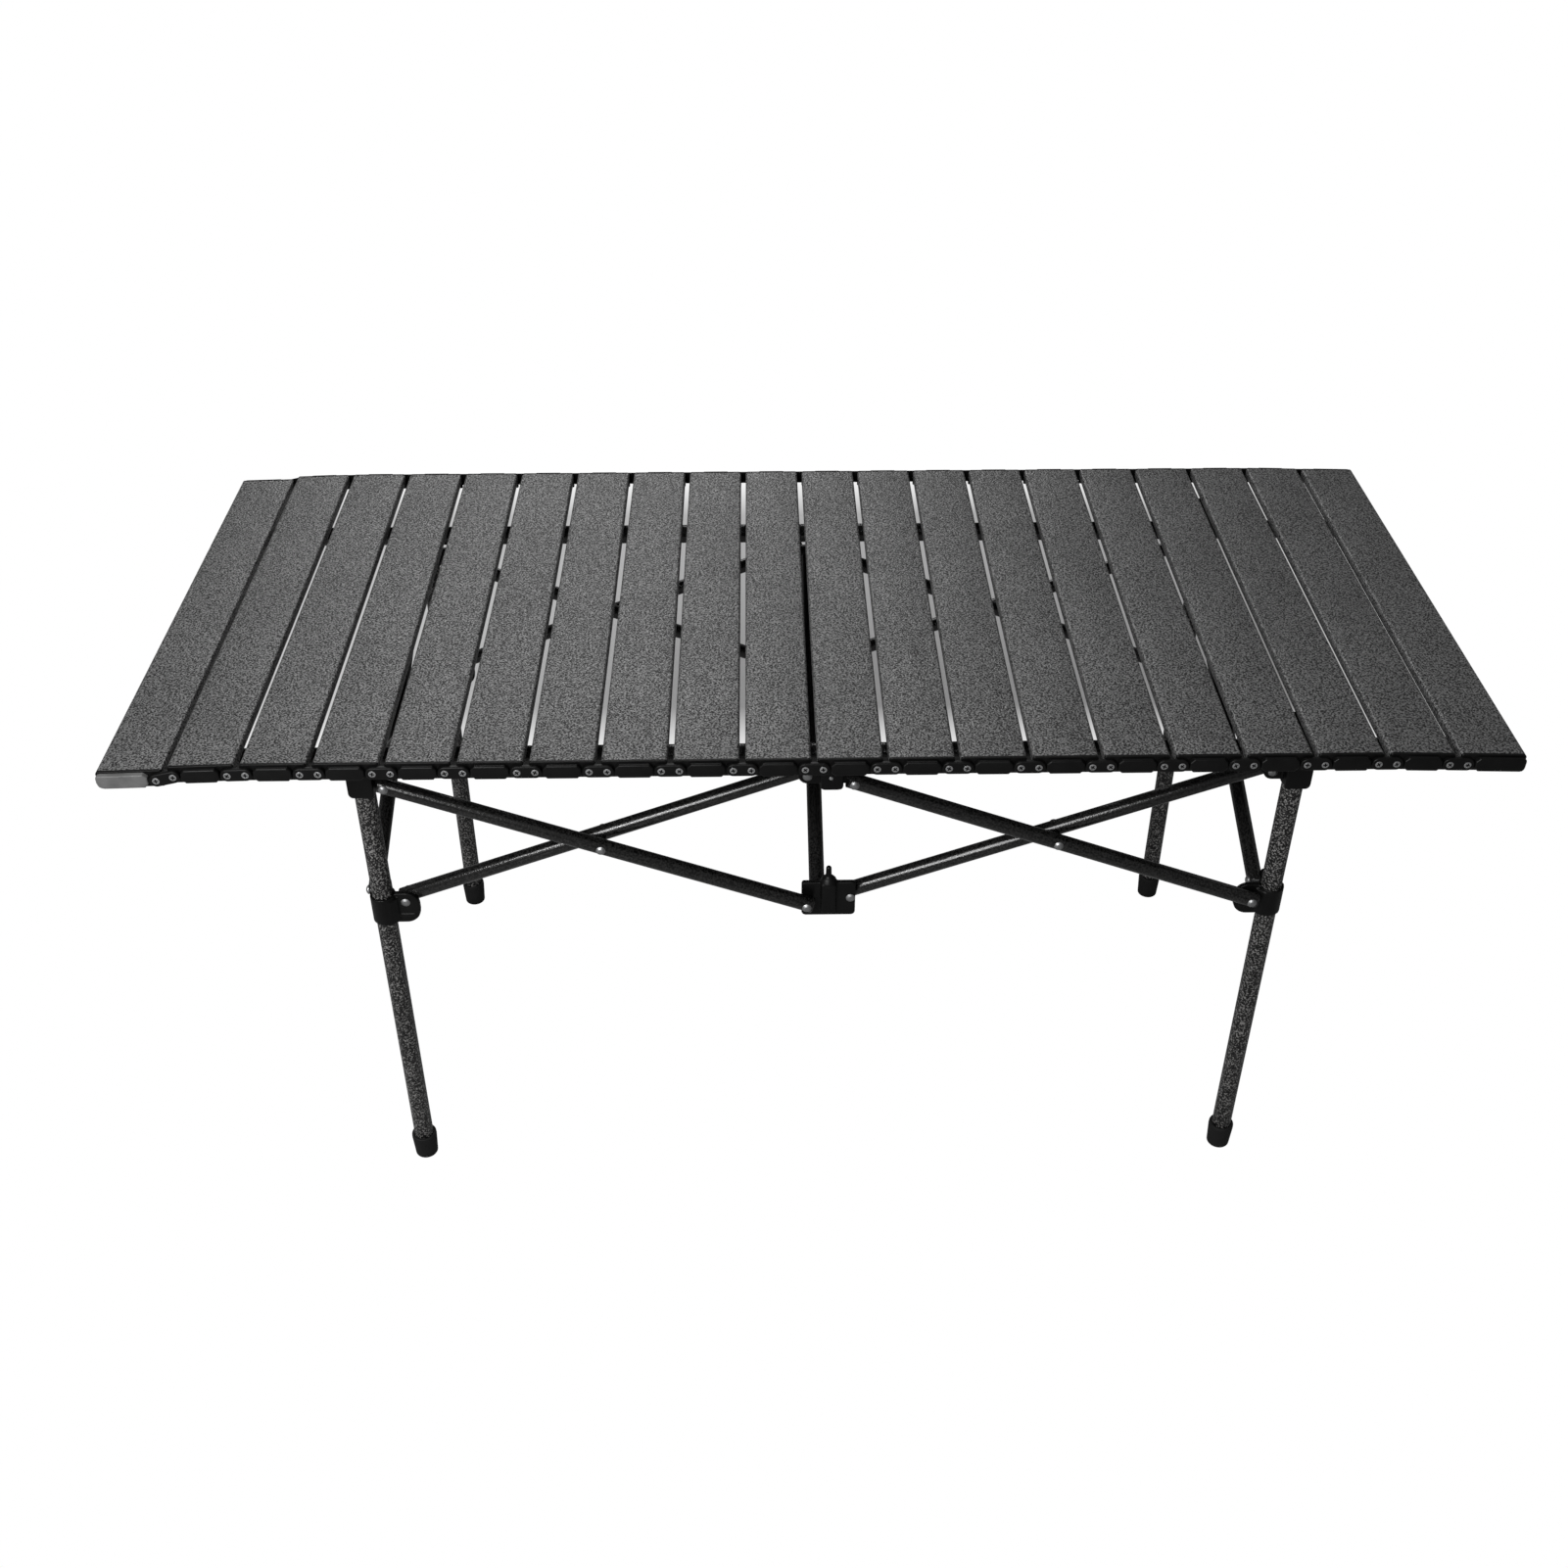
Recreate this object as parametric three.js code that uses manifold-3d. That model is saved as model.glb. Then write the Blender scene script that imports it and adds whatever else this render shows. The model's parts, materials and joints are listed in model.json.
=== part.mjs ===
// Folding picnic table: a roll-up top of aluminium slats, laid over two long
// rails on a concertina frame of four legs.
//
// Millimetres, +X along the table, +Y from front to back, +Z up. The origin is
// on the floor, under the middle of the top.

import * as THREE from 'three';
import { mergeVertices } from 'three/addons/utils/BufferGeometryUtils.js';
import Module from 'manifold-3d';

const wasm = await Module();
wasm.setup();

// ---------------------------------------------------------------- dimensions

const TABLE_HEIGHT = 540;
const GAP = 0.3; // clearance between pieces that touch on the real table

// top
const SLAT_COUNT = 20;
const SLAT_PITCH = 60;
const SLAT_WIDTH = 55;
const SLAT_LENGTH = 530;
const SLAT_DEPTH = 9;
const CAP_DEPTH = 16; // the end caps reach lower than the slats, round the hinge pins
const HINGE_DROP = CAP_DEPTH / 2; // pins below the top
const SLAT_WALL = 1.2;
const SLAT_LIP = 9; // inward lips along the open underside
const SLAT_EDGE = 2.4; // rounding of the long top edges
const CAP_FLANGE = 2.5; // end cap plate over the cut end of a slat
const BOSS_PROUD = 4.5; // raised block in the middle of an end cap
const BOSS_HALF = 16;
const BOSS_BEVEL = 3.2;
const LINK_SPAN = 15; // between the two screws of a link plate
const LINK_RADIUS = 5.8;
const LINK_THICK = 4.2;
const SCREW_RADIUS = 1.7;
const SCREW_HOLE = 2.1;
const SAG_TILT = THREE.MathUtils.degToRad(1.5); // the end slats hang a little
const SAG_SLATS = 2;
const FIRST_SLAT_DROP = 3;

// frame
const FRAME_X = 17; // the top lies a little to one side on the frame
const BAY_X = 412; // leg to centre bracket
const HALF_Y = 202.5; // leg to the table's middle line
const TUBE_RADIUS = 9.5; // legs and rails
const TUBE_WALL = 1.2;
const BAR_RADIUS = 7.25; // scissor bars
const BAR_WALL = 1;
const PIVOT_TOP = 477;
const PIVOT_LOW = 337.5;
const PIVOT_OUT_X = 20.5; // pivot to leg axis, along the table
const PIVOT_OUT_Y = 17; // pivot to leg axis, across the table
const LAYER = 10.15; // bar axis to the middle of the ear it is riveted to
const EAR_HALF = 2.5;
const END_X = 5.8; // bar end past its pivot
const END_Y = 3;
const RIVET_RADIUS = 2.5;
const RIVET_HOLE = 3;
const RIVET_HEAD = 4.4;
const RIVET_SIDES = 6;
const SPACER_RADIUS = 3.6;
const EAR_RADIUS = 8; // rounding about a pivot at the top
const RAIL_Z = 500;
const RAIL_HALF = 575;
const SPIGOT = 35;
const RAIL_PLUG = 3;
const SOCKET_TOP = PIVOT_TOP + 9; // where a leg's top stops inside its bracket
const PLATE_TOP = PIVOT_TOP + 12; // brackets' lower plates end inside the saddles
const SOLE = 5; // rubber under a leg's end

const FULL_TURN = Math.PI * 2;

// ----------------------------------------------------------------- materials

const COLORS = {
  slat: { color: 0x4c4d4f, roughness: 0.55, metalness: 0.6 },
  leg: { color: 0x3a3834, roughness: 0.45, metalness: 0.6 },
  bar: { color: 0x141414, roughness: 0.25, metalness: 0.4 },
  nylon: { color: 0x17181a, roughness: 0.6, metalness: 0 },
  rubber: { color: 0x101011, roughness: 0.85, metalness: 0 },
};

// ---------------------------------------------------------------- solid tools

// A closed geometry as a solid, its shared vertices merged.
function solid(geometry) {
  const bare = geometry.clone();
  bare.deleteAttribute('normal');
  bare.deleteAttribute('uv');
  const merged = mergeVertices(bare, 1e-4);
  return new wasm.Manifold(new wasm.Mesh({
    numProp: 3,
    vertProperties: new Float32Array(merged.attributes.position.array),
    triVerts: new Uint32Array(merged.index.array),
  }));
}

function join(...solids) {
  return solids.reduce((sum, next) => sum.add(next));
}

function cut(body, ...tools) {
  return tools.reduce((rest, tool) => rest.subtract(tool), body);
}

function named(name, kind, body) {
  const mesh = body.getMesh();
  const geometry = new THREE.BufferGeometry();
  geometry.setAttribute('position', new THREE.BufferAttribute(new Float32Array(mesh.vertProperties), 3));
  geometry.setIndex(new THREE.BufferAttribute(new Uint32Array(mesh.triVerts), 1));
  geometry.computeVertexNormals();
  const part = new THREE.Mesh(geometry, new THREE.MeshStandardMaterial(COLORS[kind]));
  part.name = name;
  return part;
}

// Outlines are drawn in the plane across the extrusion: YZ, XZ or XY.
const PLANES = {
  x: [new THREE.Vector3(0, 1, 0), new THREE.Vector3(0, 0, 1), new THREE.Vector3(1, 0, 0)],
  y: [new THREE.Vector3(1, 0, 0), new THREE.Vector3(0, 0, 1), new THREE.Vector3(0, -1, 0)],
  z: [new THREE.Vector3(1, 0, 0), new THREE.Vector3(0, 1, 0), new THREE.Vector3(0, 0, 1)],
};

// Each arc of an outline is drawn in 2 * `fineness` straight pieces.
function extrude(axis, shape, from, to, fineness = 1) {
  const depth = to - from;
  const geometry = new THREE.ExtrudeGeometry(shape, { depth, bevelEnabled: false, curveSegments: fineness });
  geometry.applyMatrix4(new THREE.Matrix4().makeBasis(...PLANES[axis]));
  const shift = { x: 0, y: 0, z: 0 };
  shift[axis] = axis === 'y' ? to : from;
  geometry.translate(shift.x, shift.y, shift.z);
  return solid(geometry);
}

function box(x0, x1, y0, y1, z0, z1) {
  const geometry = new THREE.BoxGeometry(x1 - x0, y1 - y0, z1 - z0);
  geometry.translate((x0 + x1) / 2, (y0 + y1) / 2, (z0 + z1) / 2);
  return solid(geometry);
}

// A round rod along one axis; `at` gives its two other coordinates in order.
function rod(axis, radius, from, to, at = [0, 0], sides = 12) {
  const circle = new THREE.Shape();
  circle.absarc(at[0], at[1], radius, 0, FULL_TURN, false);
  return extrude(axis, circle, from, to, sides / 2);
}

// A solid of revolution about +Z from [radius, height] points.
function lathe(points, sides = 16) {
  const profile = points.map(([radius, height]) => new THREE.Vector2(radius, height));
  const geometry = new THREE.LatheGeometry(profile, sides);
  geometry.rotateX(Math.PI / 2);
  return solid(geometry);
}

// A rectangle with one radius for each corner, in order from the lower left.
function roundedBox(u0, u1, v0, v1, radii) {
  const shape = new THREE.Shape();
  const corners = [
    [u0, v0, Math.PI, 1, 1],
    [u1, v0, Math.PI * 1.5, -1, 1],
    [u1, v1, 0, -1, -1],
    [u0, v1, Math.PI / 2, 1, -1],
  ];
  corners.forEach(([u, v, start, su, sv], index) => {
    const radius = radii[index];
    if (radius > 0) {
      shape.absarc(u + su * radius, v + sv * radius, radius, start, start + Math.PI / 2, false);
    } else if (index === 0) {
      shape.moveTo(u, v);
    } else {
      shape.lineTo(u, v);
    }
  });
  shape.closePath();
  return shape;
}

// --------------------------------------------------------------------- slats

// Section of a slat or of a cap's flange, from the flat top down to `depth`.
function slatSection(depth) {
  const half = SLAT_WIDTH / 2;
  return roundedBox(-half, half, -depth, 0, [1, 1, SLAT_EDGE, SLAT_EDGE]);
}

// What is cut from a slat to leave a shallow channel, open below between lips.
function slatHollow() {
  const half = SLAT_WIDTH / 2 - SLAT_WALL;
  const mouth = SLAT_WIDTH / 2 - SLAT_LIP;
  const end = SLAT_LENGTH / 2;
  const room = box(-half, half, -end, end, SLAT_WALL - SLAT_DEPTH, -SLAT_WALL);
  const slot = box(-mouth, mouth, -end, end, -SLAT_DEPTH - 1, -SLAT_DEPTH + SLAT_WALL + 1);
  return join(room, slot);
}

// Raised block on an end cap, long and eight-sided, its ends bevelled back.
// On the outermost slats it runs on to the rounded outer end of the table.
function boss(side, outer) {
  const margin = 1.5;
  const low = margin - CAP_DEPTH;
  const high = -margin;
  const reach = SLAT_WIDTH / 2 - 0.5;
  const left = outer < 0 ? -reach : -BOSS_HALF;
  const right = outer > 0 ? reach : BOSS_HALF;
  const face = roundedBox(left, right, low, high, [
    outer < 0 ? 2 : BOSS_BEVEL,
    outer > 0 ? 2 : BOSS_BEVEL,
    outer > 0 ? 5 : BOSS_BEVEL,
    outer < 0 ? 5 : BOSS_BEVEL,
  ]);
  const start = SLAT_LENGTH / 2 + CAP_FLANGE - 0.5;
  const front = SLAT_LENGTH / 2 + CAP_FLANGE + BOSS_PROUD;
  const block = extrude('y', face, start, front, 0.5);
  const plan = new THREE.Shape();
  const bevel = BOSS_BEVEL * 0.9;
  plan.moveTo(left, start);
  plan.lineTo(right, start);
  plan.lineTo(right, front - bevel);
  plan.lineTo(right - bevel, front);
  plan.lineTo(left + bevel, front);
  plan.lineTo(left, front - bevel);
  plan.closePath();
  const bevelled = block.intersect(extrude('z', plan, -CAP_DEPTH, 0));
  return side > 0 ? bevelled : bevelled.mirror([0, 1, 0]);
}

// Link plate from this slat to the next one on its right. It is fast on this
// slat; its far screw is the hinge pin in the neighbour's cap.
function link(side, tilt, drop) {
  const inner = SLAT_LENGTH / 2 + CAP_FLANGE + GAP;
  const plate = new THREE.Shape();
  plate.absarc(0, 0, LINK_RADIUS, -Math.PI / 2, Math.PI / 2, false);
  plate.absarc(-LINK_SPAN, 0, LINK_RADIUS, Math.PI / 2, Math.PI * 1.5, false);
  plate.closePath();
  const pinX = SLAT_WIDTH / 2 + (SLAT_PITCH - SLAT_WIDTH) / 2 + LINK_SPAN / 2;
  const body = join(
    extrude('y', plate, inner, inner + LINK_THICK, 2),
    box(-LINK_SPAN - 3, -LINK_SPAN + 3, inner - GAP - 0.5, inner + 1, -3, 3),
    rod('y', SCREW_RADIUS, inner - CAP_FLANGE, inner + 1, [0, 0], 6),
  );
  const turned = body.rotate([0, THREE.MathUtils.radToDeg(tilt), 0]).translate([pinX, 0, drop - HINGE_DROP]);
  return side > 0 ? turned : turned.mirror([0, 1, 0]);
}

// One slat with both end caps, and the link plates on its right-hand side.
function slat(number) {
  const outer = number === 1 ? -1 : number === SLAT_COUNT ? 1 : 0;
  const end = SLAT_LENGTH / 2;
  const face = end + CAP_FLANGE;
  let body = cut(extrude('y', slatSection(SLAT_DEPTH), -end, end), slatHollow());
  for (const side of [-1, 1]) {
    const [from, to] = side > 0 ? [end, face] : [-face, -end];
    body = join(body, extrude('y', slatSection(CAP_DEPTH), from, to), boss(side, outer));
    if (number > 1) {
      const pinX = -SLAT_WIDTH / 2 - (SLAT_PITCH - SLAT_WIDTH) / 2 + LINK_SPAN / 2;
      body = cut(body, rod('y', SCREW_HOLE, from, to, [pinX, -HINGE_DROP], 6));
    }
    if (number < SLAT_COUNT) {
      const drop = number === 1 ? FIRST_SLAT_DROP : 0;
      body = join(body, link(side, -Math.asin(drop / LINK_SPAN), drop));
    }
  }
  return named(`slat_${String(number).padStart(2, '0')}`, 'slat', body);
}

// The end slats hang from the hinge of the last level slat.
function placeSlat(mesh, number) {
  const fromEnd = Math.min(number - 1, SLAT_COUNT - number);
  const x = (number - (SLAT_COUNT + 1) / 2) * SLAT_PITCH;
  mesh.position.set(x, 0, TABLE_HEIGHT);
  if (fromEnd < SAG_SLATS) {
    const side = Math.sign(x);
    const lastGap = side * (SLAT_COUNT / 2 - SAG_SLATS) * SLAT_PITCH;
    const hinge = new THREE.Vector3(lastGap + LINK_SPAN / 2, 0, TABLE_HEIGHT - HINGE_DROP);
    const up = new THREE.Vector3(0, 1, 0);
    mesh.position.sub(hinge).applyAxisAngle(up, side * SAG_TILT).add(hinge);
    mesh.rotation.y = side * SAG_TILT;
  }
  if (number === 1) {
    mesh.position.z -= FIRST_SLAT_DROP;
  }
  return mesh;
}

// ------------------------------------------------------------- scissor bars

// A bar lies along +X from its first pivot, with its pivot axes along Y. The
// ears it is riveted to are on its +Y side (earSide 1) or -Y side (-1).
function bar(name, length, earSide, end, carriesCrossing) {
  const tube = rod('x', BAR_RADIUS, -end, length + end);
  const bore = rod('x', BAR_RADIUS - BAR_WALL, -end - 1, length + end + 1, [0, 0], 6);
  const earFace = LAYER + EAR_HALF + GAP;
  const rivets = [rivet(0, earSide, earFace), rivet(length, earSide, earFace)];
  if (!carriesCrossing) {
    const hole = rod('y', RIVET_HOLE, -10, 10, [length / 2, 0], RIVET_SIDES);
    return named(name, 'bar', cut(join(tube, ...rivets), bore, hole));
  }
  const spacer = [0, 2 * LAYER - BAR_RADIUS - GAP].map((y) => y * earSide).sort((a, b) => a - b);
  const crossing = join(
    rivet(length / 2, earSide, 2 * LAYER + BAR_RADIUS + GAP),
    rod('y', SPACER_RADIUS, ...spacer, [length / 2, 0], RIVET_SIDES),
  );
  return named(name, 'bar', cut(join(tube, ...rivets, crossing), bore));
}

// Rivet from a domed head on the bar's outer side to a formed head at `far`.
function rivet(x, earSide, far) {
  const top = far + 1.5;
  const upright = lathe([
    [0, -BAR_RADIUS - 1.6],
    [RIVET_HEAD * 0.7, -BAR_RADIUS - 1.6],
    [RIVET_HEAD, -BAR_RADIUS - 0.2],
    [RIVET_HEAD, -BAR_RADIUS + 2],
    [RIVET_RADIUS, -BAR_RADIUS + 2],
    [RIVET_RADIUS, far],
    [RIVET_HEAD, far],
    [RIVET_HEAD * 0.7, top],
    [0, top],
  ], RIVET_SIDES);
  return upright.rotate([earSide > 0 ? -90 : 90, 0, 0]).translate([x, 0, 0]);
}

// Stand a bar between two pivots; `pivotAxis` is its rivets' direction.
function placeBar(mesh, from, to, pivotAxis) {
  const along = new THREE.Vector3().subVectors(to, from).normalize();
  const across = new THREE.Vector3().crossVectors(along, pivotAxis);
  mesh.quaternion.setFromRotationMatrix(new THREE.Matrix4().makeBasis(along, pivotAxis, across));
  mesh.position.copy(from);
  return mesh;
}

// -------------------------------------------------------- brackets and hubs

// A flat ear in the XZ plane (thin in Y) from the core out to a pivot at +X,
// bored for its rivet. Turned a quarter, it serves the pivots across the table.
function ear(pivotOut, pivotZ, shape, turn) {
  const plate = extrude('y', shape, -EAR_HALF, EAR_HALF, 2);
  const bore = rod('y', RIVET_HOLE, -EAR_HALF - 1, EAR_HALF + 1, [pivotOut, pivotZ], RIVET_SIDES);
  return { plate: plate.rotate([0, 0, turn]), bore: bore.rotate([0, 0, turn]) };
}

function topEar(pivotOut, turn) {
  const radii = [0, EAR_RADIUS, EAR_RADIUS, 0];
  const reach = pivotOut + EAR_RADIUS;
  const shape = roundedBox(6, reach, PIVOT_TOP - EAR_RADIUS, PIVOT_TOP + EAR_RADIUS, radii);
  return ear(pivotOut, PIVOT_TOP, shape, turn);
}

function sliderEar(pivotOut, turn) {
  const reach = pivotOut + 12.5;
  const radii = [0, 14, 12, 0];
  const shape = roundedBox(10.8, reach, PIVOT_LOW - 24, PIVOT_LOW + 10, radii);
  return ear(pivotOut, PIVOT_LOW, shape, turn);
}

function withEars(core, ears) {
  return cut(join(core, ...ears.map((one) => one.plate)), ...ears.map((one) => one.bore));
}

// Trough for a rail, open at the top, whose two walls carry the slats.
function saddle(x0, x1) {
  const top = TABLE_HEIGHT - SLAT_DEPTH - GAP;
  const inside = TUBE_RADIUS + GAP;
  const outside = inside + 3.7;
  const block = extrude('z', roundedBox(x0, x1, -outside, outside, [3, 3, 3, 3]), PIVOT_TOP + 10, top);
  const trough = rod('x', inside, x0 - 1, x1 + 1, [0, RAIL_Z], 16);
  const mouth = box(x0 - 1, x1 + 1, -inside, inside, RAIL_Z, top + 1);
  return { block, trough: join(trough, mouth) };
}

// Bracket on a leg's top: socket below, rail saddle above, an ear each way.
function cornerBracket(name, inboard) {
  const outer = 11.6;
  const inner = 11;
  const front = 13.5;
  const low = PIVOT_TOP - 11.5;
  const seat = saddle(-outer, inner);
  const outline = roundedBox(-outer, inner, low, PLATE_TOP, [5, 3, 0, 0]);
  const socket = join(
    extrude('y', outline, -front, 0, 1.5),
    rod('z', TUBE_RADIUS + GAP + 1.8, low, PLATE_TOP, [0, 0], 16),
  );
  const core = cut(join(socket, seat.block), seat.trough);
  const ears = [topEar(PIVOT_OUT_X, 0), topEar(PIVOT_OUT_Y, 90)];
  const bore = rod('z', TUBE_RADIUS + GAP, low - 1, SOCKET_TOP, [0, 0], 16);
  const body = cut(withEars(core, ears), bore);
  return named(name, 'nylon', inboard > 0 ? body : body.mirror([1, 0, 0]));
}

// Bracket over the middle of each long side, riveted to three bars.
function centerBracket(name) {
  const half = 11;
  const front = 11;
  const back = 8;
  const seat = saddle(-half, half);
  const outline = roundedBox(-9, half, PIVOT_TOP - 9, PLATE_TOP, [3, 4, 0, 0]);
  const core = cut(join(extrude('y', outline, -front, back, 1), seat.block), seat.trough);
  const ears = [topEar(PIVOT_OUT_X, 0), topEar(PIVOT_OUT_X, 180), topEar(PIVOT_OUT_Y, 90)];
  const dimple = rod('y', 2.1, -front - 1, 4 - front, [0, PIVOT_TOP + 3], 6);
  return named(name, 'nylon', cut(withEars(core, ears), dimple));
}

// Collar that slides on a leg and carries the lower ends of two bars.
function slider(name, inboard) {
  const low = PIVOT_LOW - 20;
  const high = PIVOT_LOW + 9;
  const collar = rod('z', TUBE_RADIUS + GAP + 2, low, high, [0, 0], 18);
  const ears = [sliderEar(PIVOT_OUT_X, 0), sliderEar(PIVOT_OUT_Y, 90)];
  const bore = rod('z', TUBE_RADIUS + GAP, low - 5, high + 5, [0, 0], 18);
  const body = cut(withEars(collar, ears), bore);
  return named(name, 'nylon', inboard > 0 ? body : body.mirror([1, 0, 0]));
}

// Lower hub under a centre bracket: a wide plate, a block on its front and an
// upright stud that rises from a dome.
function centerHub(name) {
  const half = 25;
  const low = PIVOT_LOW - 20.5;
  const high = PIVOT_LOW + 18;
  const plate = extrude('y', roundedBox(-half, half, low, high, [4, 4, 3, 3]), -EAR_HALF, EAR_HALF);
  const block = extrude('z', roundedBox(-7, 7, -7, 8, [2, 2, 0, 0]), low + 6, high);
  const arm = roundedBox(0, PIVOT_OUT_Y + EAR_RADIUS, low, PIVOT_LOW + 9, [0, 4, 8, 0]);
  const across = extrude('x', arm, -EAR_HALF, EAR_HALF);
  const stud = lathe([
    [0, -1],
    [7.8, -1],
    [7.8, 1],
    [5.8, 4.4],
    [2.8, 7],
    [2.5, 16],
    [1.4, 17.6],
    [0, 18],
  ], 12).translate([0, 0, high]);
  const bores = [
    ...[-PIVOT_OUT_X, PIVOT_OUT_X].map((x) => rod('y', RIVET_HOLE, -4, 4, [x, PIVOT_LOW], RIVET_SIDES)),
    rod('x', RIVET_HOLE, -4, 4, [PIVOT_OUT_Y, PIVOT_LOW], RIVET_SIDES),
  ];
  return named(name, 'nylon', cut(join(plate, block, across, stud), ...bores));
}

// -------------------------------------------------------------- legs and rails

function leg(name) {
  const top = SOCKET_TOP - GAP;
  const bottom = SOLE + GAP;
  const tube = cut(
    rod('z', TUBE_RADIUS, bottom, top, [0, 0], 16),
    rod('z', TUBE_RADIUS - TUBE_WALL, bottom - 1, top + 1, [0, 0], 8),
  );
  return named(name, 'leg', tube);
}

function foot(name) {
  const bore = TUBE_RADIUS + GAP;
  const body = lathe([
    [0, 0],
    [10.8, 0],
    [11.8, 1.2],
    [12.6, 26],
    [12, 28],
    [bore, 28],
    [bore, SOLE],
    [0, SOLE],
  ], 14);
  return named(name, 'rubber', body);
}

// Half a rail, plugged at its outer end. The left half ends in a spigot that
// enters the right half.
function rail(name, side) {
  const skin = TUBE_RADIUS;
  const bore = TUBE_RADIUS - TUBE_WALL;
  const joint = GAP / 2;
  const spigotSkin = bore - GAP;
  const spigotBore = spigotSkin - TUBE_WALL;
  const spigot = [
    [skin, -joint],
    [spigotSkin, -joint],
    [spigotSkin, SPIGOT],
    [spigotBore, SPIGOT],
    [spigotBore, -SPIGOT],
    [bore, -SPIGOT],
  ];
  const mouth = [
    [skin, -joint],
    [bore, -joint],
  ];
  const body = lathe([
    [0, -RAIL_HALF],
    [skin, -RAIL_HALF],
    ...(side < 0 ? spigot : mouth),
    [bore, RAIL_PLUG - RAIL_HALF],
    [0, RAIL_PLUG - RAIL_HALF],
  ], 14);
  const lying = body.rotate([0, side < 0 ? 90 : -90, 0]);
  return named(name, 'bar', lying);
}

// ------------------------------------------------------------------ assembly

const table = new THREE.Group();

for (let number = 1; number <= SLAT_COUNT; number += 1) {
  table.add(placeSlat(slat(number), number));
}

// The frame is the same after half a turn, so it is built as one half twice.
// The half holds the front side, the left-hand braces and one centre brace.
const spanX = BAY_X - 2 * PIVOT_OUT_X;
const spanY = 2 * HALF_Y - 2 * PIVOT_OUT_Y;
const rise = PIVOT_TOP - PIVOT_LOW;
const lengthX = Math.hypot(spanX, rise);
const lengthY = Math.hypot(spanY, rise);
const acrossAxis = new THREE.Vector3(0, 1, 0);
const alongAxis = new THREE.Vector3(-1, 0, 0);

// Bars of one bay between the centre and a leg at `side`. The outer bar falls
// to the right; the inner one rises to the right, behind the ears.
function bayBars(side, nameOuter, nameInner) {
  const near = side * PIVOT_OUT_X;
  const far = side * (BAY_X - PIVOT_OUT_X);
  const [left, right] = [Math.min(near, far), Math.max(near, far)];
  const outerY = -HALF_Y - LAYER;
  const innerY = -HALF_Y + LAYER;
  return [
    placeBar(
      bar(nameOuter, lengthX, 1, END_X, true),
      new THREE.Vector3(left, outerY, PIVOT_TOP),
      new THREE.Vector3(right, outerY, PIVOT_LOW),
      acrossAxis,
    ),
    placeBar(
      bar(nameInner, lengthX, -1, END_X, false),
      new THREE.Vector3(left, innerY, PIVOT_LOW),
      new THREE.Vector3(right, innerY, PIVOT_TOP),
      acrossAxis,
    ),
  ];
}

// Brace across the table at x, from the front pivot's height to the back's.
function brace(name, x, layer, frontZ, backZ, carriesCrossing) {
  const reach = HALF_Y - PIVOT_OUT_Y;
  const earSide = Math.sign(layer);
  return placeBar(
    bar(name, lengthY, earSide, END_Y, carriesCrossing),
    new THREE.Vector3(x + layer * LAYER, -reach, frontZ),
    new THREE.Vector3(x + layer * LAYER, reach, backZ),
    alongAxis,
  );
}

function at(mesh, x, y, z = 0) {
  mesh.position.set(x, y, z);
  return mesh;
}

for (const turned of [false, true]) {
  const near = turned ? 'back' : 'front';
  const left = turned ? 'right' : 'left';
  const right = turned ? 'left' : 'right';
  const half = new THREE.Group();
  half.rotation.z = turned ? Math.PI : 0;
  half.position.x = FRAME_X;
  for (const [side, label] of [[-1, left], [1, right]]) {
    const corner = `${near}_${label}`;
    half.add(
      at(leg(`leg_${corner}`), side * BAY_X, -HALF_Y),
      at(foot(`foot_${corner}`), side * BAY_X, -HALF_Y),
      at(cornerBracket(`corner_bracket_${corner}`, -side), side * BAY_X, -HALF_Y),
      at(slider(`slider_${corner}`, -side), side * BAY_X, -HALF_Y),
      ...bayBars(side, `bar_${corner}_outer`, `bar_${corner}_inner`),
    );
  }
  half.add(
    at(centerBracket(`center_bracket_${near}`), 0, -HALF_Y),
    at(centerHub(`center_hub_${near}`), 0, -HALF_Y),
    brace(`brace_${left}_down`, -BAY_X, 1, PIVOT_TOP, PIVOT_LOW, true),
    brace(`brace_${left}_up`, -BAY_X, -1, PIVOT_LOW, PIVOT_TOP, false),
    brace(`brace_center_${near}`, 0, 1, PIVOT_TOP, PIVOT_LOW, !turned),
  );
  table.add(half);
  table.add(at(rail(`rail_${near}_left`, -1), 0, turned ? HALF_Y : -HALF_Y, RAIL_Z));
  table.add(at(rail(`rail_${near}_right`, 1), 0, turned ? HALF_Y : -HALF_Y, RAIL_Z));
}

export default table;
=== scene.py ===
import json
import math
import random

import bmesh
import bpy
from mathutils import Matrix, Vector


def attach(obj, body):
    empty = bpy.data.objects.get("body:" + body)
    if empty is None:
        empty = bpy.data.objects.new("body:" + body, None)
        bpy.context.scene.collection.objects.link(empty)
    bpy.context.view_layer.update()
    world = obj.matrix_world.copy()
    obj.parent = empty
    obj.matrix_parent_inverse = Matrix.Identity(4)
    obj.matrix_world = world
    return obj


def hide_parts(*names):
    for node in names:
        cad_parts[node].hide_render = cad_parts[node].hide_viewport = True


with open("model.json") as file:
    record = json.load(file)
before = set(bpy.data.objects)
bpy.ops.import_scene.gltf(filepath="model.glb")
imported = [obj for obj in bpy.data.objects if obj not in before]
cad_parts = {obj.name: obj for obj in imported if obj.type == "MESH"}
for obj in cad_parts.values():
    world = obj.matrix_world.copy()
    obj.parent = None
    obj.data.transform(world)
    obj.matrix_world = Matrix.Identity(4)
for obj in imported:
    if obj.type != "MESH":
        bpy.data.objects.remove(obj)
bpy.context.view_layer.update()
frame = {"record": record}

# Folding picnic table: a roll-up top of twenty aluminium slats on two rails and
# a concertina frame. Shapes are worked out in millimetres, in the part's own
# frame, and become metres when a piece is made.

MM = 0.001
TAU = 2 * math.pi

# --------------------------------------------------------------------- sizes

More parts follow.
